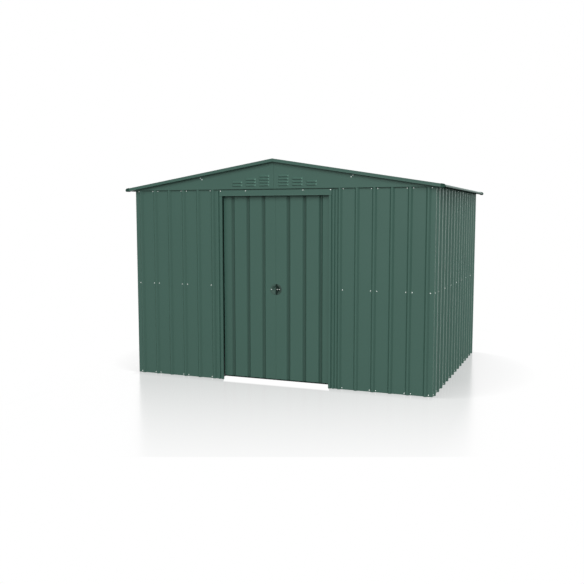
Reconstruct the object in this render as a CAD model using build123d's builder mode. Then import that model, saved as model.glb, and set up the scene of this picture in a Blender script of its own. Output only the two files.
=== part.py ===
import os
from math import cos, hypot, radians, sin, tan

from build123d import *

os.makedirs("parts", exist_ok=True)

# Sheet metal: gauges, the gap between pieces that bear on each other, and the overrun of cuts.
sheet = 0.6
gauge = 1.2
seat = 0.2
cut_over = 1

# Roll-formed wall and roof sheets.
rib_pitch = 162
rib_base = 46
rib_crest = 14
rib_height = 17
corner_flat = 66
corner_return = 24
lap_lip = 8
front_bays = 18
side_bays = 14
back_end_bays = 6
side_end_bays = 5
wall_height = 1862

# Frame inside the walls.
rail_depth = 25
floor_rail_height = 55
mid_rail_height = 50
mid_rail_centre = 930
top_rail_height = 35
post_leg = 36
anchor_radius = 5
anchor_spacing = 1800
rail_clear = 4

# Roof.
roof_angle = 9.23
wall_to_roof = 3
ridge_gap = 2
eave_overhang = 83
gable_overhang = 60
purlin_offset = 764
purlin_height = 45
purlin_flange = 36
ridge_cap_reach = 110
barge_height = 28
barge_step = 3.5
barge_slant = 2
barge_flange = 30
barge_lip = 6
eave_trim_width = 46
eave_bead = 32
eave_fold = 2
eave_bevel = 12
eave_rise = 0.5
cap_wall = 1.5
cap_reach = 36
cap_hook = 26
cap_drop = 3
cap_fold = 7
barge_clear = 0.5
eave_clear = 1
roof_clear = 2

# Gables and their pressed louvres.
gable_stand = 2
gable_foot = 39
gable_flange = 8
gable_seam = 1.6
louvre_rows = (4, 3, 2)
louvre_length = 104
louvre_taper = 9
louvre_height = 19
louvre_lip = 8
louvre_depth = 8.5
louvre_first = 29
louvre_spacing = 27.2
louvre_column = 97
louvre_column_pitch = 140

# Doorway.
door_bays = 8
jamb_width = 103
jamb_stand = 12
jamb_band = 22
jamb_flank = 6
jamb_bead = 26
jamb_return = 5
jamb_lip = 10
header_gap = 10
header_height = 53
header_lap = 26
header_flare = 4.2
header_flare_height = 9
header_stiffener = 15

# Sliding doors.
door_recess = 33
leaf_depth = 28
leaf_gap = 6
leaf_lap = 4
leaf_lip = 12
ground_gap = 26
groove_count = 3
groove_first = 128
groove_pitch = 162
groove_base = 40
groove_floor = 8
groove_depth = 16
door_rail_height = 11
door_travel = 470
track_height = 34
track_width = 42
track_slot = 14
track_clear = 8
hanger_length = 40
hanger_inset = 70
hanger_plate = 2.5
hanger_foot = 20
shoe_width = 35
shoe_height = 18
shoe_ride = 0.3
handle_radius = 51
handle_straight = 6
handle_hole = 40
handle_floor = 18
handle_height = 908
handle_proud = 2.5
handle_depth = 14
handle_wall = 2

# Values that follow from the ones above.
width = front_bays * rib_pitch + 2 * corner_flat
depth = side_bays * rib_pitch + 2 * corner_flat
skin = sheet + seat
flank = (rib_base - rib_crest) / 2
lap_step = sheet * hypot(flank, rib_height) / flank + seat
slope = tan(radians(roof_angle))
fall = (cos(radians(roof_angle)), 0, -sin(radians(roof_angle)))
crest_top = rib_height + sheet + lap_step
jamb_rib = door_bays / 2 * rib_pitch
opening_half = jamb_rib - jamb_width
header_top = wall_height - header_gap
opening_height = header_top - header_height
leaf_in = leaf_gap / 2
leaf_out = opening_half + leaf_lap
track_face = skin + rail_depth + seat
track_bottom = wall_height - track_height
leaf_top = track_bottom - track_clear
rib_face = -rib_height - gable_stand
eave_end = width / 2 + eave_overhang
eave_out = eave_end - cap_wall - eave_clear
cap_face = depth / 2 + gable_overhang

front = Plane((0, -depth / 2, 0), x_dir=(1, 0, 0), z_dir=(0, 0, 1))
back = Plane((0, depth / 2, 0), x_dir=(-1, 0, 0), z_dir=(0, 0, 1))
right = Plane((width / 2, 0, 0), x_dir=(0, 1, 0), z_dir=(0, 0, 1))
left = Plane((-width / 2, 0, 0), x_dir=(0, -1, 0), z_dir=(0, 0, 1))


# A wall's plan plane has x along the wall and y inwards; these give its cross-section and its elevation.
def across(wall, at):
    return Plane(wall.origin + wall.x_dir * at, x_dir=wall.y_dir, z_dir=wall.x_dir)


def elevation(wall, inset):
    return Plane(wall.origin + wall.y_dir * inset, x_dir=wall.x_dir, z_dir=wall.y_dir * -1)


# Underside of the roof sheets at a distance from the ridge.
def roof_at(x):
    return wall_height + wall_to_roof + (width / 2 - abs(x)) * slope


def mirrored(line):
    return [(-u, v) for u, v in reversed(line)]


# Trapezoid waves along a line, for the ribs of a sheet and the grooves of a door.
def waves(centres, level, rise, base, crest):
    line = []
    for c in centres:
        line += [(c - base / 2, level), (c - crest / 2, level + rise)]
        line += [(c + crest / 2, level + rise), (c + base / 2, level)]
    return line


# Outline of a folded sheet: a line, and its parallel at the sheet's thickness to the left.
def thickened(line, thickness):
    points = [Vector(*p) for p in line]
    ways = [(b - a).normalized() for a, b in zip(points, points[1:])]
    sides = [Vector(-way.Y, way.X) for way in ways]
    inner = [p + (a + b) * (thickness / (1 + a.dot(b)))
             for p, a, b in zip(points, sides[:1] + sides, sides + sides[-1:])]
    return points + inner[::-1]


def solid(plane, outline, length, mode=Mode.ADD, along=None):
    with BuildSketch(plane) as section:
        with BuildLine():
            Polyline(*outline, close=True)
        make_face()
    extrude(section.sketch, amount=length, dir=along, mode=mode)


def folded(plane, line, thickness, length, along=None):
    solid(plane, thickened(line, thickness), length, along=along)


def save(builder, name):
    builder.part.label = name
    export_step(builder.part, f"parts/{name}.step")


# Wall sheets: end sheets from a corner to a lap rib, middle sheets laid over the lap ribs.
def rib_centres(bays, first, last):
    return [(k - bays / 2) * rib_pitch for k in range(first, last + 1)]


def end_sheet(half, bays, end_bays, level, corner):
    ribs = rib_centres(bays, 0, end_bays)
    line = waves(ribs, level, -rib_height, rib_base, rib_crest)
    return corner + [(-half, level)] + line + [(ribs[-1] + rib_base / 2 + lap_lip, level)]


def middle_sheet(bays, end_bays, level):
    ribs = rib_centres(bays, end_bays, bays - end_bays)
    reach = ribs[-1] + rib_base / 2 + lap_lip
    return [(-reach, level)] + waves(ribs, level, -rib_height, rib_base, rib_crest) + [(reach, level)]


wrap = [(-width / 2, corner_return)]
front_end = end_sheet(width / 2, front_bays, (front_bays - door_bays) // 2, 0, wrap)
back_end = end_sheet(width / 2, front_bays, back_end_bays, 0, wrap)
side_end = end_sheet(depth / 2 - skin, side_bays, side_end_bays, skin, [])
back_middle = middle_sheet(front_bays, back_end_bays, -lap_step)
side_middle = middle_sheet(side_bays, side_end_bays, skin - lap_step)

for name, wall, line in (
    ("front_wall_left", front, front_end),
    ("front_wall_right", front, mirrored(front_end)),
    ("right_wall_front", right, side_end),
    ("right_wall_middle", right, side_middle),
    ("right_wall_rear", right, mirrored(side_end)),
    ("back_wall_right", back, back_end),
    ("back_wall_centre", back, back_middle),
    ("back_wall_left", back, mirrored(back_end)),
    ("left_wall_rear", left, side_end),
    ("left_wall_middle", left, side_middle),
    ("left_wall_front", left, mirrored(side_end)),
):
    with BuildPart() as wall_sheet:
        folded(wall, line, sheet, wall_height)
    save(wall_sheet, name)

# Corner posts: angles behind the corners of the wall sheets.
post_x = width / 2 - 2 * skin
post_y = depth / 2 - skin
with BuildPart() as corner_posts:
    for sx in (-1, 1):
        for sy in (-1, 1):
            turn = sx * sy
            line = [(sx * (post_x - post_leg), sy * post_y), (sx * post_x, sy * post_y),
                    (sx * post_x, sy * (post_y - post_leg))]
            folded(Plane.XY, line if turn < 0 else line[::-1], gauge, wall_height)
save(corner_posts, "corner_posts")


# Rails: channels against the wall sheets, open to the inside.
def channel(inset, bottom, top):
    return [(inset + rail_depth, top), (inset, top), (inset, bottom), (inset + rail_depth, bottom)]


cross_end = post_x - post_leg - seat
side_end_rail = post_y - post_leg - seat
rail_start = opening_half + jamb_lip + rail_clear
anchor_inset = 2 * skin + rail_depth / 2

with BuildPart() as floor_frame:
    for wall, inset, spans in (
        (front, skin, ((-cross_end, -rail_start), (rail_start, cross_end))),
        (back, skin, ((-cross_end, cross_end),)),
        (left, 2 * skin, ((-side_end_rail, side_end_rail),)),
        (right, 2 * skin, ((-side_end_rail, side_end_rail),)),
    ):
        for start, end in spans:
            folded(across(wall, start), channel(inset, 0, floor_rail_height), gauge, end - start)
    with BuildSketch(Plane.XY) as anchors:
        with GridLocations(width - 2 * anchor_inset, anchor_spacing, 2, 2):
            Circle(anchor_radius)
    extrude(anchors.sketch, amount=floor_rail_height / 2, mode=Mode.SUBTRACT)
save(floor_frame, "floor_frame")

with BuildPart() as mid_rails:
    low = mid_rail_centre - mid_rail_height / 2
    for wall, inset, spans in (
        (front, skin, ((-cross_end, -rail_start), (rail_start, cross_end))),
        (back, skin, ((-cross_end, cross_end),)),
        (left, 2 * skin, ((-side_end_rail, side_end_rail),)),
        (right, 2 * skin, ((-side_end_rail, side_end_rail),)),
    ):
        for start, end in spans:
            folded(across(wall, start), channel(inset, low, low + mid_rail_height), gauge, end - start)
save(mid_rails, "mid_rails")

top_channel = channel(skin, wall_height - top_rail_height, wall_height)
with BuildPart() as top_rail_front:
    folded(across(front, -cross_end), top_channel, gauge, 2 * cross_end)
save(top_rail_front, "top_rail_front")

with BuildPart() as top_rails:
    folded(across(back, -cross_end), top_channel, gauge, 2 * cross_end)
    rail_in = 2 * skin + rail_depth
    plate = [(rail_in, roof_at(width / 2 - rail_in) - seat), (2 * skin, roof_at(width / 2 - 2 * skin) - seat),
             (2 * skin, wall_height - top_rail_height), (rail_in, wall_height - top_rail_height)]
    for wall in (left, right):
        folded(across(wall, -side_end_rail), plate, gauge, 2 * side_end_rail)
save(top_rails, "top_rails")

# Door jambs: a proud band at the opening, a return into the wall and a bead beside the wall sheet.
band_end = opening_half + jamb_band
bead_start = band_end + 2 * jamb_flank
bead_end = bead_start + jamb_bead
jamb_line = [
    (opening_half + jamb_lip, jamb_return), (opening_half, jamb_return), (opening_half, -jamb_stand),
    (band_end, -jamb_stand), (band_end + jamb_flank, -skin), (bead_start, -skin),
    (bead_start + jamb_flank, -skin - jamb_stand), (bead_end - jamb_flank, -skin - jamb_stand),
    (bead_end, -skin), (jamb_rib - rib_base / 2 - seat, -skin),
]
notch_in = opening_half - cut_over
notch_out = opening_half + jamb_lip + cut_over
notch_back = jamb_return + cut_over
jamb_notch = [(notch_in, 0), (notch_out, 0), (notch_out, notch_back), (notch_in, notch_back)]
for name, line, notch in (
    ("door_jamb_left", mirrored(jamb_line), mirrored(jamb_notch)), ("door_jamb_right", jamb_line, jamb_notch),
):
    with BuildPart() as jamb:
        folded(front, line, sheet, header_top - skin)
        solid(front.offset(wall_height - top_rail_height - seat), notch, top_rail_height, Mode.SUBTRACT)
    save(jamb, name)

# Header over the doorway: its face laps the jambs, its drip lip and return stay between them.
header_half = opening_half + header_lap
header_face = -jamb_stand - skin
header_line = [
    (skin - seat, header_top), (header_face, header_top),
    (header_face, opening_height + header_flare_height), (header_face - header_flare, opening_height),
]
header_back = jamb_return - seat
header_return = [(header_back, opening_height), (header_back, opening_height + header_stiffener)]
with BuildPart() as door_header:
    folded(across(front, -header_half), header_line, sheet, 2 * header_half)
    folded(across(front, -opening_half + seat), header_line + header_return, sheet, 2 * (opening_half - seat))
save(door_header, "door_header")

# Door track: a C-section behind the top rail, slotted underneath.
track_half = leaf_out + door_travel
track_back = track_face + track_width
slot_front = track_face + (track_width - track_slot) / 2
track_line = [
    (slot_front + track_slot, track_bottom), (track_back, track_bottom), (track_back, wall_height),
    (track_face, wall_height), (track_face, track_bottom), (slot_front, track_bottom),
]
with BuildPart() as door_track:
    folded(across(front, -track_half), track_line, gauge, 2 * track_half)
save(door_track, "door_track")

# One louvre: a hood pressed out of a sheet with sloping ends, and the throat left open under it.
hood_face = rib_face - louvre_depth
hood_back = rib_face + sheet
hood_half = louvre_length / 2
lip_half = hood_half - louvre_taper
hood_line = [(rib_face, louvre_height), (hood_face, louvre_lip), (hood_face, 0)]
hood_plan = [(-hood_half, rib_face), (-lip_half, hood_face), (lip_half, hood_face), (hood_half, rib_face)]
hood_root = [(hood_back, 0), (hood_back, louvre_height)]
hood_rear = [(hood_half, hood_back), (-hood_half, hood_back)]
with BuildPart() as louvre_hood:
    solid(across(Plane.XY, -hood_half), hood_line + hood_root, louvre_length)
    solid(Plane.XY, hood_plan + hood_rear, louvre_height, Mode.INTERSECT)

throat_back = hood_back + sheet
throat_foot, throat_bend, throat_top = thickened(hood_line, sheet)[len(hood_line):]
throat_line = [(throat_foot.X, -sheet), throat_bend]
throat_root = [(throat_back, throat_top.Y - sheet), (throat_back, -sheet)]
throat_plan = thickened(hood_plan, sheet)[len(hood_plan):]
throat_rear = [(throat_plan[-1].X, throat_back), (throat_plan[0].X, throat_back)]
with BuildPart() as louvre_throat:
    solid(across(Plane.XY, -hood_half), throat_line + throat_root, louvre_length)
    solid(Plane.XY.offset(-sheet), throat_plan + throat_rear, louvre_height + sheet, Mode.INTERSECT)

# Gables: two sheets to each end, standing on the wall sheets, with banks of hooded louvres.
gable_bottom = wall_height + seat


def gable(wall, side):
    seam = side * gable_seam / 2
    edge = side * width / 2
    top = [(seam, roof_at(seam) - seat), (edge, roof_at(edge) - seat)]
    under = [(u, v - sheet) for u, v in reversed(top)]
    solid(elevation(wall, rib_face + sheet), [(edge, gable_bottom), (seam, gable_bottom)] + top, sheet)
    solid(elevation(wall, rib_face + sheet), top + under, gable_flange + sheet)
    foot_top = gable_bottom + sheet
    foot = [(seam, gable_bottom), (edge, gable_bottom), (edge, foot_top), (seam, foot_top)]
    solid(elevation(wall, rib_face + gable_foot), foot, gable_foot)
    turn_top = top[0][1] - gable_flange
    turn_edge = seam + side * sheet
    turn = [(seam, gable_bottom), (turn_edge, gable_bottom), (turn_edge, turn_top), (seam, turn_top)]
    solid(elevation(wall, rib_face + gable_flange), turn, gable_flange)
    for column, rows in enumerate(louvre_rows):
        middle = side * (louvre_column + column * louvre_column_pitch)
        levels = [wall_height + louvre_first + row * louvre_spacing for row in range(rows)]
        with Locations(*[wall.location * Location((middle, 0, level)) for level in levels]):
            add(louvre_hood.part)
            add(louvre_throat.part, mode=Mode.SUBTRACT)


for name, wall, side in (
    ("front_gable_left", front, -1), ("front_gable_right", front, 1),
    ("back_gable_left", back, 1), ("back_gable_right", back, -1),
):
    with BuildPart() as gable_sheet:
        gable(wall, side)
    save(gable_sheet, name)

# Roof sheets: ribs run down the slope, the rear sheet laid over the front one at the middle rib.
roof_end = cap_face - cap_wall - roof_clear
roof_half = side_bays // 2
roof_run = (eave_out - eave_bead - eave_clear - ridge_gap / 2) / fall[0]
roof_ridge = roof_at(ridge_gap / 2)
lap_reach = rib_base / 2 + lap_lip
front_ribs = waves(rib_centres(side_bays, 0, roof_half), roof_ridge, rib_height, rib_base, rib_crest)
rear_ribs = waves(rib_centres(side_bays, roof_half, side_bays), roof_ridge + lap_step, rib_height, rib_base,
                  rib_crest)
front_roof = [(-roof_end, roof_ridge)] + front_ribs + [(lap_reach, roof_ridge)]
rear_roof = [(-lap_reach, roof_ridge + lap_step)] + rear_ribs + [(roof_end, roof_ridge + lap_step)]

for name, side, line in (
    ("roof_left_front", -1, front_roof), ("roof_left_rear", -1, rear_roof),
    ("roof_right_front", 1, front_roof), ("roof_right_rear", 1, rear_roof),
):
    with BuildPart() as roof_sheet:
        folded(Plane.YZ.offset(side * ridge_gap / 2), line, sheet, roof_run, (side * fall[0], 0, fall[2]))
    save(roof_sheet, name)

# Ridge cap on the rib crests, between the barges.
cap_level = crest_top + skin
barge_inner = cap_face - cap_wall - barge_flange - barge_step
ridge_eaves = roof_at(ridge_cap_reach) + cap_level
ridge_line = [(ridge_cap_reach, ridge_eaves), (0, roof_at(0) + cap_level), (-ridge_cap_reach, ridge_eaves)]
with BuildPart() as ridge_cap:
    folded(Plane.XZ.offset(-barge_inner + seat), ridge_line, sheet, 2 * (barge_inner - seat))
save(ridge_cap, "ridge_cap")

# Barges: stepped channels round the gable ends of the roof, meeting at the ridge.
barge_face = cap_face - cap_wall - barge_clear
barge_tip = eave_end - cap_reach / 2
barge_run = (barge_tip - seat) / fall[0]
barge_low = roof_at(barge_tip) - skin
barge_top = roof_at(barge_tip) + barge_height
barge_middle = roof_at(barge_tip) + barge_height / 2
barge_line = [
    (-barge_inner, barge_top - barge_lip), (-barge_inner, barge_top), (-barge_face + barge_step, barge_top),
    (-barge_face + barge_step, barge_middle + barge_slant), (-barge_face, barge_middle),
    (-barge_face, barge_low), (-barge_face + barge_flange, barge_low),
]
for name, side, line in (
    ("front_barge_left", -1, barge_line), ("front_barge_right", 1, barge_line),
    ("back_barge_left", -1, mirrored(barge_line)), ("back_barge_right", 1, mirrored(barge_line)),
):
    with BuildPart() as barge:
        folded(Plane.YZ.offset(side * barge_tip), line, sheet, barge_run, (-side * fall[0], 0, -fall[2]))
    save(barge, name)

# Eave trims: folded beads that close the ends of the roof sheets.
eave_in = eave_out - eave_trim_width
bead_in = eave_out - eave_bead
eave_low = roof_at(bead_in) - skin
shoulder = eave_out - eave_bevel
trim_top = roof_at(eave_in) + cap_level
shoulder_level = trim_top + eave_rise
eave_line = [
    (eave_in, roof_at(eave_in) - skin), (bead_in, eave_low), (eave_out - eave_fold, eave_low),
    (eave_out, eave_low + eave_fold), (eave_out, shoulder_level - eave_bevel), (shoulder, shoulder_level),
    (eave_in, trim_top),
]
eave_half = barge_inner - seat
for name, line in (("eave_trim_left", mirrored(eave_line)), ("eave_trim_right", eave_line)):
    with BuildPart() as eave_trim:
        folded(Plane.XZ.offset(-eave_half), line, sheet, 2 * eave_half)
    save(eave_trim, name)

# Moulded caps over the roof corners, hollow towards the barge and the eave trim.
cap_in = eave_end - cap_reach
hook_in = eave_end - cap_hook
cap_length = cap_face - barge_inner + barge_lip


def cap_outline(start, inset):
    end = eave_end - inset
    bevel = end - eave_bevel
    spare = cap_wall - inset
    top = barge_height + barge_clear + spare
    low = eave_low - eave_clear - cap_drop - spare
    return [(start, roof_at(start) - skin - barge_clear - spare), (hook_in - spare, low),
            (end - cap_fold, low), (end, low + cap_fold), (end, roof_at(bevel) + top - eave_bevel),
            (bevel, roof_at(bevel) + top), (start, roof_at(start) + top)]


cap_shell = cap_outline(cap_in, 0)
cap_pocket = cap_outline(cap_in - cut_over, cap_wall)
rear_cap = Plane.XZ.offset(-cap_face)
front_cap = Plane.XZ.offset(cap_face - cap_length)
with BuildPart() as roof_corner_caps:
    for shell, pocket in ((cap_shell, cap_pocket), (mirrored(cap_shell), mirrored(cap_pocket))):
        for plane, closed in ((rear_cap, cap_wall), (front_cap, -cut_over)):
            solid(plane, shell, cap_length)
            solid(plane.offset(closed), pocket, cap_length - cap_wall + cut_over, Mode.SUBTRACT)
save(roof_corner_caps, "roof_corner_caps")

# Purlins: channels from gable to gable at mid-slope.
purlin_in = purlin_offset - purlin_flange / 2
purlin_out = purlin_offset + purlin_flange / 2
purlin_low = roof_at(purlin_in) - purlin_height
purlin_line = [(purlin_out, roof_at(purlin_out) - seat), (purlin_in, roof_at(purlin_in) - seat),
               (purlin_in, purlin_low), (purlin_out, purlin_low)]
purlin_half = depth / 2 - rib_face - skin
with BuildPart() as purlins:
    for line in (purlin_line, mirrored(purlin_line)):
        folded(Plane.XZ.offset(-purlin_half), line, gauge, 2 * purlin_half)
save(purlins, "purlins")

# Sliding doors: grooved leaf, top and bottom rails, track hangers and half-round handle.
grooves = [groove_first + k * groove_pitch for k in range(groove_count)]
leaf_back = door_recess + leaf_depth
leaf_line = [(leaf_in + leaf_lip, leaf_back), (leaf_in, leaf_back), (leaf_in, door_recess)]
leaf_line += waves(grooves, door_recess, groove_depth, groove_base, groove_floor)
leaf_line += [(leaf_out, door_recess), (leaf_out, leaf_back), (leaf_out - leaf_lip, leaf_back)]
rail_front = door_recess - seat - gauge
rail_back = leaf_back + seat + gauge
foot_rail = [(rail_front, ground_gap + door_rail_height), (rail_front, ground_gap),
             (rail_back, ground_gap), (rail_back, ground_gap + door_rail_height)]
head_rail = [(rail_back, leaf_top - door_rail_height), (rail_back, leaf_top),
             (rail_front, leaf_top), (rail_front, leaf_top - door_rail_height)]
leaf_low = ground_gap + gauge + seat
leaf_height = leaf_top - gauge - seat - leaf_low
track_middle = track_face + track_width / 2
foot_low = leaf_top + seat
shoe_low = track_bottom + gauge + shoe_ride
hanger_half = [(hanger_foot / 2, foot_low), (hanger_foot / 2, foot_low + hanger_plate),
               (hanger_plate / 2, foot_low + hanger_plate), (hanger_plate / 2, shoe_low),
               (shoe_width / 2, shoe_low), (shoe_width / 2, shoe_low + shoe_height)]
hanger_outline = [(track_middle + u, v) for u, v in hanger_half + mirrored(hanger_half)]
rim_back = door_recess - seat
rim_front = door_recess - handle_proud
cup_floor = door_recess + handle_depth
cup_back = cup_floor + handle_wall
cup_mouth = handle_hole - 2 * handle_wall
handle_line = [(rim_back, handle_radius), (rim_back, handle_hole - seat), (cup_back, handle_floor),
               (cup_back, 0), (cup_floor, 0), (cup_floor, handle_floor), (rim_front, cup_mouth),
               (rim_front, handle_radius - handle_proud)]
upper_half = [(u, handle_height + v) for u, v in handle_line]
lower_half = [(u, handle_height - v) for u, v in handle_line]
bow = leaf_in + handle_straight

for name, side in (("door_left", -1), ("door_right", 1)):
    with BuildPart() as leaf:
        folded(front.offset(leaf_low), leaf_line if side > 0 else mirrored(leaf_line), sheet, leaf_height)
        with BuildSketch(elevation(front, cup_floor + 2 * handle_wall)) as cut:
            with Locations((side * bow, handle_height)):
                Circle(handle_hole)
                Rectangle(2 * handle_straight, 2 * handle_hole)
        extrude(cut.sketch, amount=handle_depth + 3 * handle_wall, mode=Mode.SUBTRACT)
    save(leaf, name)

    leaf_start = leaf_in if side > 0 else -leaf_out
    with BuildPart() as leaf_rails:
        for line in (foot_rail, head_rail):
            folded(across(front, leaf_start), line, gauge, leaf_out - leaf_in)
    save(leaf_rails, f"{name}_rails")

    with BuildPart() as hangers:
        for at in (leaf_in + hanger_inset, leaf_out - hanger_inset):
            solid(across(front, side * at - hanger_length / 2), hanger_outline, hanger_length)
    save(hangers, f"{name}_hangers")

    with BuildPart() as handle:
        with BuildSketch(across(front, side * bow)) as section:
            with BuildLine():
                Polyline(*upper_half, close=True)
            make_face()
        revolve(section.sketch, axis=Axis((side * bow, 0, handle_height), (0, 1, 0)))
        split(bisect_by=Plane.YZ.offset(side * bow), keep=Keep.TOP if side > 0 else Keep.BOTTOM)
        for outline in (upper_half, lower_half):
            solid(across(front, leaf_in if side > 0 else -bow), outline, handle_straight)
    save(handle, f"{name}_handle")
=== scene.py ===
import math

import bmesh
import bpy
from mathutils import Matrix, Vector


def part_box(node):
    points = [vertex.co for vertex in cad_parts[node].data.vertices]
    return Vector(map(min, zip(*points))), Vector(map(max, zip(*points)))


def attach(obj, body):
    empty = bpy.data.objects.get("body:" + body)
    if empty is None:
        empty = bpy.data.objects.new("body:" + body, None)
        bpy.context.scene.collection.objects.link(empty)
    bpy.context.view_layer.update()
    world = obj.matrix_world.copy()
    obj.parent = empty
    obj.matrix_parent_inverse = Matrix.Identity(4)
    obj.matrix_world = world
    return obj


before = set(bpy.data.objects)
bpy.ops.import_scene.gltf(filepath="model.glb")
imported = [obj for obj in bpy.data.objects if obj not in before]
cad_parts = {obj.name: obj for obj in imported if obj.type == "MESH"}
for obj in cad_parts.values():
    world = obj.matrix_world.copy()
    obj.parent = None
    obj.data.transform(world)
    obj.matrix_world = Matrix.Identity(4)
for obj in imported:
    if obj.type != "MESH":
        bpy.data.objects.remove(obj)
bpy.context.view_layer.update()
print("frame loaded:", len(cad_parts), "nodes")

scene = bpy.context.scene
scene.view_settings.view_transform = "Standard"

# the ways that sheets and screws look
ways = {
    "front": (0.0, -1.0, 0.0),
    "back": (0.0, 1.0, 0.0),
    "left": (-1.0, 0.0, 0.0),
    "right": (1.0, 0.0, 0.0),
    "up": (0.0, 0.0, 1.0),
    "down": (0.0, 0.0, -1.0),
}


# one socket of a node tree; arithmetic on it adds Math nodes
class Wire:
    def __init__(self, tree, socket=None):
        self.tree = tree
        self.socket = socket

    def node(self, kind, settings, inputs, output=0):
        made = self.tree.nodes.new(kind)
        for key, value in settings.items():
            setattr(made, key, value)
        for key, value in inputs.items():
            if isinstance(value, Wire):
                self.tree.links.new(value.socket, made.inputs[key])
            else:
                made.inputs[key].default_value = value
        return Wire(self.tree, made.outputs[output] if len(made.outputs) else None)

    # another output of the node this socket belongs to
    def beside(self, output):
        return Wire(self.tree, self.socket.node.outputs[output])

    def maths(self, operation, a, b):
        return self.node("ShaderNodeMath", {"operation": operation}, {0: a, 1: b})

    def clamped(self):
        return self.node("ShaderNodeClamp", {}, {"Value": self})

    def size(self):
        return self.maths("ABSOLUTE", self, 0.0)

    def below(self, limit):
        return self.maths("LESS_THAN", self, limit)

    def atLeast(self, limit):
        return self.maths("MAXIMUM", self, limit)

    def atMost(self, limit):
        return self.maths("MINIMUM", self, limit)

    def root(self):
        return self.maths("SQRT", self, 0.0)

    def __add__(self, other):
        return self.maths("ADD", self, other)

    def __radd__(self, other):
        return self.maths("ADD", other, self)

    def __sub__(self, other):
        return self.maths("SUBTRACT", self, other)

    def __rsub__(self, other):
        return self.maths("SUBTRACT", other, self)

    def __mul__(self, other):
        return self.maths("MULTIPLY", self, other)

    def __rmul__(self, other):
        return self.maths("MULTIPLY", other, self)

    def __truediv__(self, other):
        return self.maths("DIVIDE", self, other)

    def __rtruediv__(self, other):
        return self.maths("DIVIDE", other, self)


def newMaterial(name):
    material = bpy.data.materials.new(name)
    material.use_nodes = True
    tree = material.node_tree
    tree.nodes.clear()
    return material, Wire(tree)


def closeMaterial(wire, shader):
    wire.node("ShaderNodeOutputMaterial", {}, {"Surface": shader})


def objectPoint(wire):
    return wire.node("ShaderNodeTexCoord", {}, {}, "Object")


def dotProduct(wire, a, b):
    return wire.node("ShaderNodeVectorMath", {"operation": "DOT_PRODUCT"}, {0: a, 1: b}, "Value")


# 1 on faces that look this way, -1 on faces that look the other way
def facing(wire, way):
    return dotProduct(wire, wire.node("ShaderNodeTexCoord", {}, {}, "Normal"), way)


def noiseAt(wire, point, scale, detail=2.0, roughness=0.5):
    return wire.node("ShaderNodeTexNoise", {}, {
        "Vector": point, "Scale": scale, "Detail": detail, "Roughness": roughness})


# a value that follows a pattern from 0 to 1, by half the spread to either side
def around(middle, pattern, spread):
    return middle + (pattern - 0.5) * spread


# 6, 7 and output 2 are a Mix node's colour sockets
def mixColour(wire, factor, a, b):
    return wire.node("ShaderNodeMix", {"data_type": "RGBA"}, {0: factor, 6: a, 7: b}, 2)


def mixShader(wire, factor, a, b):
    return wire.node("ShaderNodeMixShader", {}, {0: factor, 1: a, 2: b})


# painted shade: faces that look down, such as the undersides of folded edges, get a dull dark colour that
# stands in for shade there, and on the eaves so does part of the drip edge; each pair is the tilt at which it
# starts and how softly it comes in
paintedUnderShade = {
    "colour": (0.011, 0.024, 0.019, 1.0),
    "trim": (-0.3, 0.02),
    "eave": (0.25, 0.55),
}


# mixes in the painted shade, a dull dark diffuse, on faces that look down
def paintShadeBelow(wire, shader, span):
    start, soft = span
    under = ((start - facing(wire, ways["up"])) / soft).clamped()
    paintedShade = wire.node("ShaderNodeBsdfDiffuse", {}, {"Color": paintedUnderShade["colour"]})
    return mixShader(wire, under, shader, paintedShade)


# satin baked enamel on roll-formed steel; outward is the side that gets the colour coat
paint = {
    "colour": (0.043, 0.101, 0.079, 1.0),
    "deepColour": (0.039, 0.094, 0.073, 1.0),
    "backingColour": (0.16, 0.18, 0.17, 1.0),
    "backingTilt": 0.3,
    "topLightColour": (0.053, 0.119, 0.094, 1.0),
    "topLightTilt": 0.25,
    "cloudScale": 1.7,
    "cloudDetail": 4.0,
    "cloudRoughness": 0.6,
    "specular": 0.30,
    "roughness": 0.42,
    "backRoughness": 0.8,
    "roughnessSpread": 0.10,
    "peelScale": 900.0,
    "peelBump": 0.02,
    "peelHeight": 0.001,
    "panScale": (2.2, 2.2, 0.9),
    "panDetail": 1.0,
    "panBump": 0.05,
    "panHeight": 0.05,
    "grooveShadeColour": (0.030, 0.068, 0.053, 1.0),
    "grooveShadeDepth": 0.016,
    "endGlintColour": (0.112, 0.228, 0.183, 1.0),
    "endGlintTilt": 0.5,
    "skyTilt": 0.75,
    "skySoft": 0.15,
    "skySpecular": 0.06,
    "skyRoughness": 0.8,
}
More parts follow.
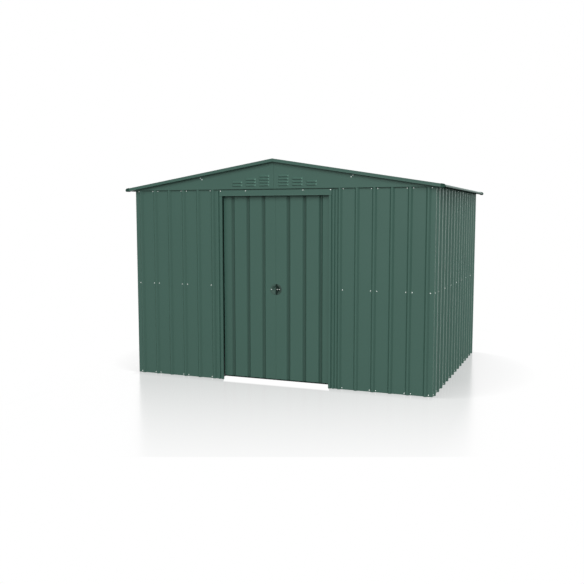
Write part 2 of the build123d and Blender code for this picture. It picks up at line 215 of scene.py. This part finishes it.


# grooveFace is the front of a door leaf, whose pressed grooves get painted shade that darkens with depth; a
# louvred sheet gets a painted highlight on the right-hand ends of the hoods
def paintedSteel(name, outward=None, shadeBelow=None, grooveFace=None, glintOnEnds=False,
                 roughness=paint["roughness"]):
    material, wire = newMaterial(name)
    point = objectPoint(wire)
    cloud = noiseAt(wire, point, paint["cloudScale"], paint["cloudDetail"], paint["cloudRoughness"])
    colour = mixColour(wire, cloud, paint["deepColour"], paint["colour"])
    if outward:
        # painted highlight: faces that look up, such as the louvre hood tops, are painted paler as if lit
        # from above
        paintedTopLight = facing(wire, ways["down"]).below(-paint["topLightTilt"])
        colour = mixColour(wire, paintedTopLight, colour, paint["topLightColour"])
        inner = facing(wire, outward).below(-paint["backingTilt"])
        colour = mixColour(wire, inner, colour, paint["backingColour"])
    # painted highlight: faces that look right, the ends of the louvre hoods, are painted pale
    if glintOnEnds:
        flat = facing(wire, ways["right"]).below(paint["endGlintTilt"])
        colour = mixColour(wire, flat, paint["endGlintColour"], colour)
    # painted shade in the door grooves, darker the deeper the face lies behind the leaf's front
    if grooveFace is not None:
        grooveShade = wire.node("ShaderNodeSeparateXYZ", {}, {"Vector": point}, "Y") - grooveFace
        colour = mixColour(wire, (grooveShade / paint["grooveShadeDepth"]).clamped(), colour, paint["grooveShadeColour"])
    stretched = wire.node("ShaderNodeMapping", {}, {"Vector": point, "Scale": paint["panScale"]})
    panned = wire.node("ShaderNodeBump", {}, {
        "Strength": paint["panBump"], "Distance": paint["panHeight"],
        "Height": noiseAt(wire, stretched, 1.0, paint["panDetail"])})
    bumped = wire.node("ShaderNodeBump", {}, {
        "Strength": paint["peelBump"], "Distance": paint["peelHeight"],
        "Height": noiseAt(wire, point, paint["peelScale"]), "Normal": panned})
    shader = wire.node("ShaderNodeBsdfPrincipled", {}, {
        "Base Color": colour, "Roughness": around(roughness, cloud, paint["roughnessSpread"]),
        "Specular IOR Level": paint["specular"], "Normal": bumped})
    if not outward:
        # roof and trims are weathered matt where they face the sky
        sky = ((facing(wire, ways["up"]) - paint["skyTilt"]) / paint["skySoft"]).clamped()
        matt = wire.node("ShaderNodeBsdfPrincipled", {}, {
            "Base Color": colour, "Roughness": paint["skyRoughness"],
            "Specular IOR Level": paint["skySpecular"]})
        shader = mixShader(wire, sky, shader, matt)
    closeMaterial(wire, paintShadeBelow(wire, shader, shadeBelow) if shadeBelow else shader)
    return material


# zinc-coated channels with a faint spangle
zinc = {
    "colour": (0.50, 0.51, 0.52, 1.0),
    "deepColour": (0.40, 0.41, 0.42, 1.0),
    "spangleScale": 55.0,
    "spangleShare": 0.6,
    "cloudScale": 6.0,
    "cloudDetail": 3.0,
    "roughness": 0.42,
    "roughnessSpread": 0.12,
    "metallic": 0.85,
}


def galvanisedSteel(name):
    material, wire = newMaterial(name)
    point = objectPoint(wire)
    spangle = wire.node("ShaderNodeTexVoronoi", {}, {"Vector": point, "Scale": zinc["spangleScale"]},
                        "Color")
    grey = wire.node("ShaderNodeRGBToBW", {}, {"Color": spangle})
    cloud = noiseAt(wire, point, zinc["cloudScale"], zinc["cloudDetail"])
    patchy = grey * zinc["spangleShare"] + cloud * (1.0 - zinc["spangleShare"])
    closeMaterial(wire, wire.node("ShaderNodeBsdfPrincipled", {}, {
        "Base Color": mixColour(wire, patchy, zinc["deepColour"], zinc["colour"]),
        "Metallic": zinc["metallic"],
        "Roughness": around(zinc["roughness"], grey, zinc["roughnessSpread"])}))
    return material


# moulded plastic with a fine spark texture
plastic = {
    "cloudScale": 14.0,
    "cloudDetail": 3.0,
    "grainScale": 1400.0,
    "grainDetail": 1.0,
    "grainBump": 0.08,
    "grainHeight": 0.0005,
    "specular": 0.35,
    "roughness": 0.48,
    "roughnessSpread": 0.1,
}
mouldings = {
    "handle": {"colour": (0.034, 0.076, 0.060, 1.0), "deepColour": (0.030, 0.068, 0.053, 1.0)},
    # the right handle is a darker copy of the same moulding: painted shade for its cup, which lies in shadow
    "shadedHandle": {"colour": (0.021, 0.047, 0.037, 1.0), "deepColour": (0.017, 0.040, 0.031, 1.0)},
    "cap": {"colour": (0.030, 0.068, 0.053, 1.0), "deepColour": (0.025, 0.058, 0.045, 1.0),
            "specular": 0.0, "shadeBelow": paintedUnderShade["trim"]},
    # near-black that stands in for shade: the dark line along the doors' bottom edge and the dark joint
    # beside the handle
    "paintedShadeStrip": {"colour": (0.008, 0.019, 0.015, 1.0), "deepColour": (0.006, 0.014, 0.011, 1.0),
                   "specular": 0.08},
    "nylon": {"colour": (0.62, 0.62, 0.58, 1.0), "deepColour": (0.52, 0.52, 0.48, 1.0)},
}


def mouldedPlastic(name, colour, deepColour, specular=plastic["specular"], shadeBelow=None):
    material, wire = newMaterial(name)
    point = objectPoint(wire)
    cloud = noiseAt(wire, point, plastic["cloudScale"], plastic["cloudDetail"])
    bumped = wire.node("ShaderNodeBump", {}, {
        "Strength": plastic["grainBump"], "Distance": plastic["grainHeight"],
        "Height": noiseAt(wire, point, plastic["grainScale"], plastic["grainDetail"])})
    shader = wire.node("ShaderNodeBsdfPrincipled", {}, {
        "Base Color": mixColour(wire, cloud, deepColour, colour), "Specular IOR Level": specular,
        "Roughness": around(plastic["roughness"], cloud, plastic["roughnessSpread"]), "Normal": bumped})
    closeMaterial(wire, paintShadeBelow(wire, shader, shadeBelow) if shadeBelow else shader)
    return material


# plated screws, dulled by handling
plating = {
    "colour": (0.72, 0.77, 0.74, 1.0),
    "deepColour": (0.57, 0.62, 0.59, 1.0),
    "cloudScale": 90.0,
    "metallic": 0.35,
    "roughness": 0.36,
    "roughnessSpread": 0.1,
}


def platedSteel(name):
    material, wire = newMaterial(name)
    cloud = noiseAt(wire, objectPoint(wire), plating["cloudScale"])
    closeMaterial(wire, wire.node("ShaderNodeBsdfPrincipled", {}, {
        "Base Color": mixColour(wire, cloud, plating["deepColour"], plating["colour"]),
        "Metallic": plating["metallic"],
        "Roughness": plating["roughness"] + cloud * plating["roughnessSpread"]}))
    return material


finishes = {
    "front": paintedSteel("greenFront", ways["front"]),
    "back": paintedSteel("greenBack", ways["back"], roughness=paint["backRoughness"]),
    "frontGable": paintedSteel("greenFrontGable", ways["front"], glintOnEnds=True),
    "backGable": paintedSteel("greenBackGable", ways["back"], glintOnEnds=True,
                              roughness=paint["backRoughness"]),
    "left": paintedSteel("greenLeft", ways["left"]),
    "right": paintedSteel("greenRight", ways["right"]),
    "trim": paintedSteel("greenTrim", shadeBelow=paintedUnderShade["trim"]),
    "eave": paintedSteel("greenEave", shadeBelow=paintedUnderShade["eave"]),
    "edging": paintedSteel("greenEdging"),
    "backEdging": paintedSteel("greenBackEdging", roughness=paint["backRoughness"]),
    "frame": galvanisedSteel("zincFrame"),
    "door": paintedSteel("greenDoor", ways["front"], grooveFace=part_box("door_left")[0].y),
    "handle": mouldedPlastic("greenMoulding", **mouldings["handle"]),
    "shadedHandle": mouldedPlastic("shadedGreenMoulding", **mouldings["shadedHandle"]),
    "cap": mouldedPlastic("capMoulding", **mouldings["cap"]),
    "paintedShadeStrip": mouldedPlastic("paintedShadeStrip", **mouldings["paintedShadeStrip"]),
    "nylon": mouldedPlastic("nylonShoe", **mouldings["nylon"]),
    "screw": platedSteel("zincScrew"),
}

# nodes with a finish of their own; the others go by the words in their names
ownFinish = {
    "door_left": "door",
    "door_right": "door",
    "door_left_handle": "handle",
    # the right handle takes the darker copy as painted shade
    "door_right_handle": "shadedHandle",
    "door_left_hangers": "nylon",
    "door_right_hangers": "nylon",
    # the door foot rails are near-black as painted shade, the dark line along the doors' bottom edge
    "door_left_rails": "paintedShadeStrip",
    "door_right_rails": "paintedShadeStrip",
    "door_header": "edging",
    "door_track": "frame",
    "mid_rails": "frame",
    "floor_frame": "frame",
    "corner_posts": "frame",
    "purlins": "frame",
    "roof_corner_caps": "cap",
}


def finishOf(node):
    if node in ownFinish:
        return ownFinish[node]
    firstWord = node.split("_")[0]
    if "_wall" in node:
        return firstWord
    if "_gable" in node:
        return firstWord + "Gable"
    if "_barge" in node:
        return "backEdging" if firstWord == "back" else "edging"
    return "eave" if firstWord == "eave" else "trim"


for node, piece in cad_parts.items():
    piece.data.materials.clear()
    piece.data.materials.append(finishes[finishOf(node)])
print("finishes on the sheets, frame and mouldings")


def addPiece(name, shape, body, finish):
    mesh = bpy.data.meshes.new(name)
    shape.to_mesh(mesh)
    shape.free()
    mesh.materials.append(finishes[finish])
    piece = bpy.data.objects.new(name, mesh)
    scene.collection.objects.link(piece)
    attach(piece, body)


# self-drilling screws: a thin washer under a low domed head
screwHead = {
    "profile": ((0.0052, -0.0002), (0.0052, 0.0008), (0.0040, 0.0011), (0.0038, 0.0026), (0.0026, 0.0036),
                (0.0, 0.0039)),
    "steps": 10,
    "merge": 1e-5,
}


def screwTemplate():
    head = bmesh.new()
    corners = [head.verts.new((radius, 0.0, height)) for radius, height in screwHead["profile"]]
    edges = [head.edges.new(pair) for pair in zip(corners, corners[1:])]
    bmesh.ops.spin(head, geom=corners + edges, cent=(0, 0, 0), axis=ways["up"], angle=2 * math.pi,
                   steps=screwHead["steps"], use_merge=True)
    bmesh.ops.remove_doubles(head, verts=head.verts, dist=screwHead["merge"])
    bmesh.ops.holes_fill(head, edges=[edge for edge in head.edges if edge.is_boundary], sides=0)
    bmesh.ops.recalc_face_normals(head, faces=head.faces)
    mesh = bpy.data.meshes.new("screwTemplate")
    head.to_mesh(mesh)
    head.free()
    return mesh


screwMesh = screwTemplate()


def screwsAt(name, body, places, size=1.0):
    rows = bmesh.new()
    for place, outward in places:
        rows.from_mesh(screwMesh)
        rows.verts.ensure_lookup_table()
        fresh = rows.verts[-len(screwMesh.vertices):]
        turn = Vector(ways["up"]).rotation_difference(Vector(outward)).to_matrix().to_4x4()
        stand = Matrix.Translation(place) @ turn @ Matrix.Scale(size, 4)
        bmesh.ops.transform(rows, matrix=stand, verts=fresh)
    addPiece(name, rows, body, "screw")


# the wall screws stand beside the ribs, in rows on the three rails
walls = {
    "pitch": 0.162,
    "ribHeight": 0.017,
    "cornerClear": 0.04,
    "beside": 0.029,
    "footRow": 0.014,
    "headRow": 0.010,
    "doorBay": 5,
    "sheets": {
        "front": ("front_wall_left", "front_wall_right"),
        "back": ("back_wall_left", "back_wall_centre", "back_wall_right"),
        "left": ("left_wall_front", "left_wall_middle", "left_wall_rear"),
        "right": ("right_wall_front", "right_wall_middle", "right_wall_rear"),
    },
}
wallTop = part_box("front_wall_left")[1].z
railLow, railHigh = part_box("mid_rails")
wallRows = (walls["footRow"], (railLow.z + railHigh.z) / 2, wallTop - walls["headRow"])


# pairs at every second rib, single screws at the corners and beside the doorway
def ribSpots(half, doorBay):
    count = int((half - walls["cornerClear"]) / walls["pitch"])
    spots = []
    for rib in range(-count, count + 1):
        bay = count - abs(rib)
        outer = math.copysign(walls["beside"], rib)
        if bay in (0, doorBay):
            spots.append(rib * walls["pitch"] + outer)
        elif bay % 2 and not (doorBay and bay > doorBay):
            spots += [rib * walls["pitch"] - outer, rib * walls["pitch"] + outer]
    return spots


# where the flat of a sheet is, behind the ribs or louvres that stand proud of it
def faceOf(boxes, axis, way, proud):
    if way > 0:
        return max(high[axis] for low, high in boxes) - proud
    return min(low[axis] for low, high in boxes) + proud


for side, sheets in walls["sheets"].items():
    outward = ways[side]
    along = 0 if outward[1] else 1
    deep = 1 - along
    boxes = [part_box(sheet) for sheet in sheets]
    half = max(high[along] for low, high in boxes)
    places = []
    for spot in ribSpots(half, walls["doorBay"] if side == "front" else 0):
        holders = [(low, high) for low, high in boxes if low[along] < spot < high[along]]
        for height in wallRows:
            place = Vector((0.0, 0.0, height))
            place[along] = spot
            place[deep] = faceOf(holders, deep, outward[deep], walls["ribHeight"])
            places.append((place, outward))
    screwsAt(side + "WallScrews", "shed", places)

header = {"inner": 0.293, "endInset": 0.011, "topInset": 0.006, "lipFlare": 0.0042}
headerLow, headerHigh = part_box("door_header")
headerFace = headerLow.y + header["lipFlare"]
headerRow = headerHigh.z - header["topInset"]
screwsAt("headerScrews", "shed", [
    ((side * x, headerFace, headerRow), ways["front"])
    for side in (-1, 1) for x in (header["inner"], headerHigh.x - header["endInset"])])

# two screws in each half of a gable, given as distance from the middle and rise over the wall
gable = {"inner": (0.757, 0.097), "outer": (0.774, 0.111), "louvreDepth": 0.0085}
gablePlaces = []
for end, sheet in (("front", "front_gable_left"), ("back", "back_gable_left")):
    gableFace = faceOf([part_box(sheet)], 1, ways[end][1], gable["louvreDepth"])
    for side in (-1, 1):
        for x, rise in (gable["inner"], gable["outer"]):
            gablePlaces.append(((side * x, gableFace, wallTop + rise), ways[end]))
screwsAt("gableScrews", "shed", gablePlaces)

# roof screws on the rib crests, over the purlins, along the ridge cap and along the eaves
roof = {"inset": 0.018, "eaveInset": 0.010, "sheet": 0.0006, "ridgeGap": 0.001, "ribCount": 7}
ridgeLow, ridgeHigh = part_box("ridge_cap")
eaveLow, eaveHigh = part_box("eave_trim_right")
slope = (ridgeHigh.z - ridgeLow.z - roof["sheet"]) / ridgeHigh.x
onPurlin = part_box("purlins")[1].x - roof["inset"]
onRidge = ridgeHigh.x - roof["inset"]
onEave = eaveLow.x + roof["eaveInset"]
ridgeRow = ridgeHigh.z - slope * onRidge
eaveRow = eaveHigh.z - roof["sheet"] / 2
roofPlaces = []
for side, hand in ((-1, "left"), (1, "right")):
    upward = Vector((side * slope, 0.0, 1.0)).normalized()
    for rib in range(-roof["ribCount"], roof["ribCount"] + 1):
        y = rib * walls["pitch"]
        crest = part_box(f"roof_{hand}_rear" if rib >= 0 else f"roof_{hand}_front")[1].z
        purlinRow = crest - slope * (onPurlin - roof["ridgeGap"])
        roofPlaces.append(((side * onPurlin, y, purlinRow), upward))
        if rib % 2:
            roofPlaces.append(((side * onRidge, y, ridgeRow), upward))
            roofPlaces.append(((side * onEave, y, eaveRow), ways["up"]))
screwsAt("roofScrews", "shed", roofPlaces)
print("screws on walls, header, gables and roof")

# handle fittings: a fixing screw on the left, a black latch plate with two screws on the right; the plate's
# black is painted shade that widens the dark joint beside the handle
handle = {
    "screwSize": 0.85,
    "screwInset": 0.0145,
    "screwSink": 0.0006,
    "latchScrews": (0.0150, 0.0372),
    "plateReach": 0.0165,
    "plateClear": 0.0006,
    "plateProud": 0.0008,
    "plateDepth": 0.003,
    "tabReach": 0.0455,
    "tabHalf": 0.008,
    "tabSink": 0.0002,
    "bevel": 0.0008,
}
leftLow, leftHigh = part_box("door_left_handle")
rightLow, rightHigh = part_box("door_right_handle")
handleMiddle = (leftLow.z + leftHigh.z) / 2
rimPlace = (leftLow.x + handle["screwInset"], leftLow.y + handle["screwSink"], handleMiddle)
screwsAt("leftHandleScrew", "left_door", [(rimPlace, ways["front"])], handle["screwSize"])
plateFront = rightLow.y - handle["plateProud"]
latchPlaces = [((x, plateFront, handleMiddle), ways["front"]) for x in handle["latchScrews"]]
screwsAt("latchScrews", "right_door", latchPlaces, handle["screwSize"])


# a bar with rounded edges between two corners
def barShape(low, high, bevel):
    bar = bmesh.new()
    bmesh.ops.create_cube(bar, size=1.0)
    spread = Vector(high) - Vector(low)
    bmesh.ops.scale(bar, vec=spread, verts=bar.verts)
    bmesh.ops.translate(bar, vec=Vector(low) + spread / 2, verts=bar.verts)
    bmesh.ops.bevel(bar, geom=bar.edges, offset=bevel, offset_type="OFFSET", affect="EDGES", segments=2,
                    profile=0.5, material=-1)
    bmesh.ops.recalc_face_normals(bar, faces=bar.faces)
    return bar


plateLeft = leftHigh.x + handle["plateClear"]
plateBack = plateFront + handle["plateDepth"]
latchPlate = barShape((plateLeft, plateFront, rightLow.z),
                      (handle["plateReach"], plateBack, rightHigh.z), handle["bevel"])
addPiece("latchPlate", latchPlate, "right_door", "paintedShadeStrip")
tabLeft = plateLeft + handle["bevel"]
latchTab = barShape((tabLeft, plateFront + handle["tabSink"], handleMiddle - handle["tabHalf"]),
                    (handle["tabReach"], plateBack, handleMiddle + handle["tabHalf"]), handle["bevel"])
addPiece("latchTab", latchTab, "right_door", "paintedShadeStrip")

# soft green strip on the left door that closes the joint between the doors, above and below the handle
seal = {
    "clear": 0.0005,
    "behind": 0.0009,
    "depth": 0.003,
    "bevel": 0.0004,
    "handleClear": 0.001,
    "endInset": 0.002,
}
leafLow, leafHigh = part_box("door_left")
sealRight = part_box("door_right")[0].x - seal["clear"]
sealFront = leafLow.y + seal["behind"]
sealBack = sealFront + seal["depth"]
sealSpans = {
    "jointStripLow": (leafLow.z + seal["endInset"], leftLow.z - seal["handleClear"]),
    "jointStripHigh": (leftHigh.z + seal["handleClear"], leafHigh.z - seal["endInset"]),
}
for name, (bottom, top) in sealSpans.items():
    strip = barShape((leafHigh.x, sealFront, bottom), (sealRight, sealBack, top), seal["bevel"])
    addPiece(name, strip, "left_door", "door")
print("handle fittings and joint strip")

# camera at the photograph's viewpoint
view = {"place": (2.7634, -7.7608, 1.6065), "yaw": 21.507, "pitch": 5.776, "lens": 46.255, "sensor": 36.0}
lensData = bpy.data.cameras.new("viewpoint")
lensData.lens = view["lens"]
lensData.sensor_width = view["sensor"]
viewpoint = bpy.data.objects.new("viewpoint", lensData)
viewpoint.location = view["place"]
viewpoint.rotation_euler = (math.radians(90.0 - view["pitch"]), 0.0, math.radians(view["yaw"]))
scene.collection.objects.link(viewpoint)
scene.camera = viewpoint

# pale floor: white to the eye far away, with a faint reflection and some real shadow close to the shed, and a
# painted shadow, a dimmer glow, beside its walls
floor = {
    "size": 30.0,
    "bounceColour": (0.22, 0.22, 0.22, 1.0),
    "paleColour": (0.92, 0.92, 0.92, 1.0),
    "white": (1.0, 1.0, 1.0, 1.0),
    "paintedShadowColour": (0.82, 0.82, 0.82, 1.0),
    "glow": 1.0,
    "gloss": 0.9,
    "glossRoughness": 0.2,
    "touch": 0.001,
    "fadeEnd": -3.86,
    "fadeRate": 0.126,
    "most": 0.36,
    "spread": 0.9,
    "spreadSoft": 0.6,
    "ahead": 3.0,
    "aheadSoft": 0.5,
    "edge": -3.351,
    "edgeSoft": 0.02,
    "edgeWay": (-0.3666, 0.9304, 0.0),
    "sideReach": 0.8,
    "sideHalf": 1.23,
    "sideLeast": 0.001,
    "contactReach": 0.15,
    "apron": 0.125,
    "apronSoft": 0.05,
    "apronLean": 0.42,
    "sill": 0.15,
    "sillReach": 0.05,
}


# a light path mask: what the eye sees, directly or in gloss and glass
def seenByEye(wire):
    path = wire.node("ShaderNodeLightPath", {}, {}, "Is Camera Ray")
    return (path + path.beside("Is Glossy Ray") + path.beside("Is Transmission Ray")).clamped()


floorShape = bmesh.new()
bmesh.ops.create_grid(floorShape, x_segments=1, y_segments=1, size=floor["size"])
floorMesh = bpy.data.meshes.new("paleFloor")
floorShape.to_mesh(floorMesh)
floorShape.free()
paleFloor = bpy.data.objects.new("paleFloor", floorMesh)
scene.collection.objects.link(paleFloor)

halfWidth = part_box("front_wall_right")[1].x
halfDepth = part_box("back_wall_right")[1].y - walls["ribHeight"]
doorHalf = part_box("door_jamb_right")[0].x
floorFinish, wire = newMaterial("paleFloor")
ground = objectPoint(wire)
east = wire.node("ShaderNodeSeparateXYZ", {}, {"Vector": ground})
north = east.beside("Y")
pastX = (east.size() - halfWidth).atLeast(0.0)
pastY = (north.size() - halfDepth).atLeast(0.0)
inside = (pastX + pastY).below(floor["touch"])
# the polish fades towards the front, where it ends in an edge, and to the sides
away = dotProduct(wire, ground, floor["edgeWay"])
near = ((away - floor["fadeEnd"]) * floor["fadeRate"]).atMost(floor["most"]).clamped()
near = near * ((away - floor["edge"]) / floor["edgeSoft"]).clamped()
near = near * ((floor["spread"] - pastX) / floor["spreadSoft"]).clamped()
near = near * ((floor["ahead"] - pastY) / floor["aheadSoft"]).clamped()
# beside the walls a painted contact shadow, a dimmer glow, ends in a half ellipse
alongSide = north / floor["sideHalf"]
sideSpan = (1.0 - alongSide * alongSide).atLeast(floor["sideLeast"]).root()
paintedContactShade = (1.0 - pastX / (sideSpan * floor["sideReach"])).clamped()
paintedContactShade = paintedContactShade * (1.0 - pastY / floor["contactReach"]).clamped()
# the floor is painted white under the doors and a little way in front of them, a painted pool of light with
# no shadow or reflection
ahead = -halfDepth - north
behind = ahead.below(0.0)
apron = (east - ahead.atLeast(0.0) * floor["apronLean"]).size().below(doorHalf)
apron = apron * ((floor["apron"] - ahead) / floor["apronSoft"]).clamped() * (1.0 - behind)
sill = east.size().below(doorHalf + floor["sillReach"])
sill = sill * behind * (1.0 - ahead.below(-floor["sill"]))
shaded = 1.0 - (apron + sill).clamped()
shade = (near + inside).clamped() * shaded
bounce = wire.node("ShaderNodeBsdfDiffuse", {}, {"Color": floor["bounceColour"]})
pale = wire.node("ShaderNodeBsdfDiffuse", {}, {"Color": floor["paleColour"]})
mirror = wire.node("ShaderNodeBsdfGlossy", {}, {
    "Color": floor["white"], "Roughness": floor["glossRoughness"]})
white = wire.node("ShaderNodeEmission", {}, {"Color": floor["white"], "Strength": floor["glow"]})
paintedShadow = wire.node("ShaderNodeEmission", {}, {"Color": floor["paintedShadowColour"], "Strength": floor["glow"]})
bright = mixShader(wire, paintedContactShade * shaded, white, paintedShadow)
polished = mixShader(wire, (1.0 - inside) * floor["gloss"], pale, mirror)
toTheEye = mixShader(wire, shade, bright, polished)
closeMaterial(wire, mixShader(wire, seenByEye(wire), bounce, toTheEye))
floorMesh.materials.append(floorFinish)

# white surround to the eye, soft even light on the shed
studio = {
    "dome": 0.48,
    "surround": 1.0,
    "white": (1.0, 1.0, 1.0, 1.0),
    "lamps": {
        "key": {"place": (5.2, -22.5, 13.0), "size": (12.0, 18.0), "power": 5350.0,
                "aim": (0.0, -1.2, 1.1)},
        "side": {"place": (8.5, 4.0, 2.7), "size": (4.0, 2.2), "power": 495.0, "aim": (1.5, 0.0, 1.0)},
        "rear": {"place": (-8.0, 7.0, 3.0), "size": (5.0, 4.0), "power": 700.0, "aim": (-0.8, 0.6, 1.0)},
    },
    "mirrored": ("key", "side"),  # lamps that polished surfaces show
}
world = bpy.data.worlds.new("studio")
world.use_nodes = True
world.node_tree.nodes.clear()
scene.world = world
wire = Wire(world.node_tree)
dome = wire.node("ShaderNodeBackground", {}, {"Color": studio["white"], "Strength": studio["dome"]})
surround = wire.node("ShaderNodeBackground", {}, {
    "Color": studio["white"], "Strength": studio["surround"]})
wire.node("ShaderNodeOutputWorld", {}, {"Surface": mixShader(wire, seenByEye(wire), dome, surround)})

for name, lamp in studio["lamps"].items():
    data = bpy.data.lights.new(name, "AREA")
    data.shape = "RECTANGLE"
    data.size, data.size_y = lamp["size"]
    data.energy = lamp["power"]
    lampObject = bpy.data.objects.new(name, data)
    lampObject.location = lamp["place"]
    aim = Vector(lamp["aim"]) - Vector(lamp["place"])
    lampObject.rotation_euler = aim.to_track_quat("-Z", "Y").to_euler()
    lampObject.visible_glossy = name in studio["mirrored"]
    scene.collection.objects.link(lampObject)
print("camera, floor and lights placed")
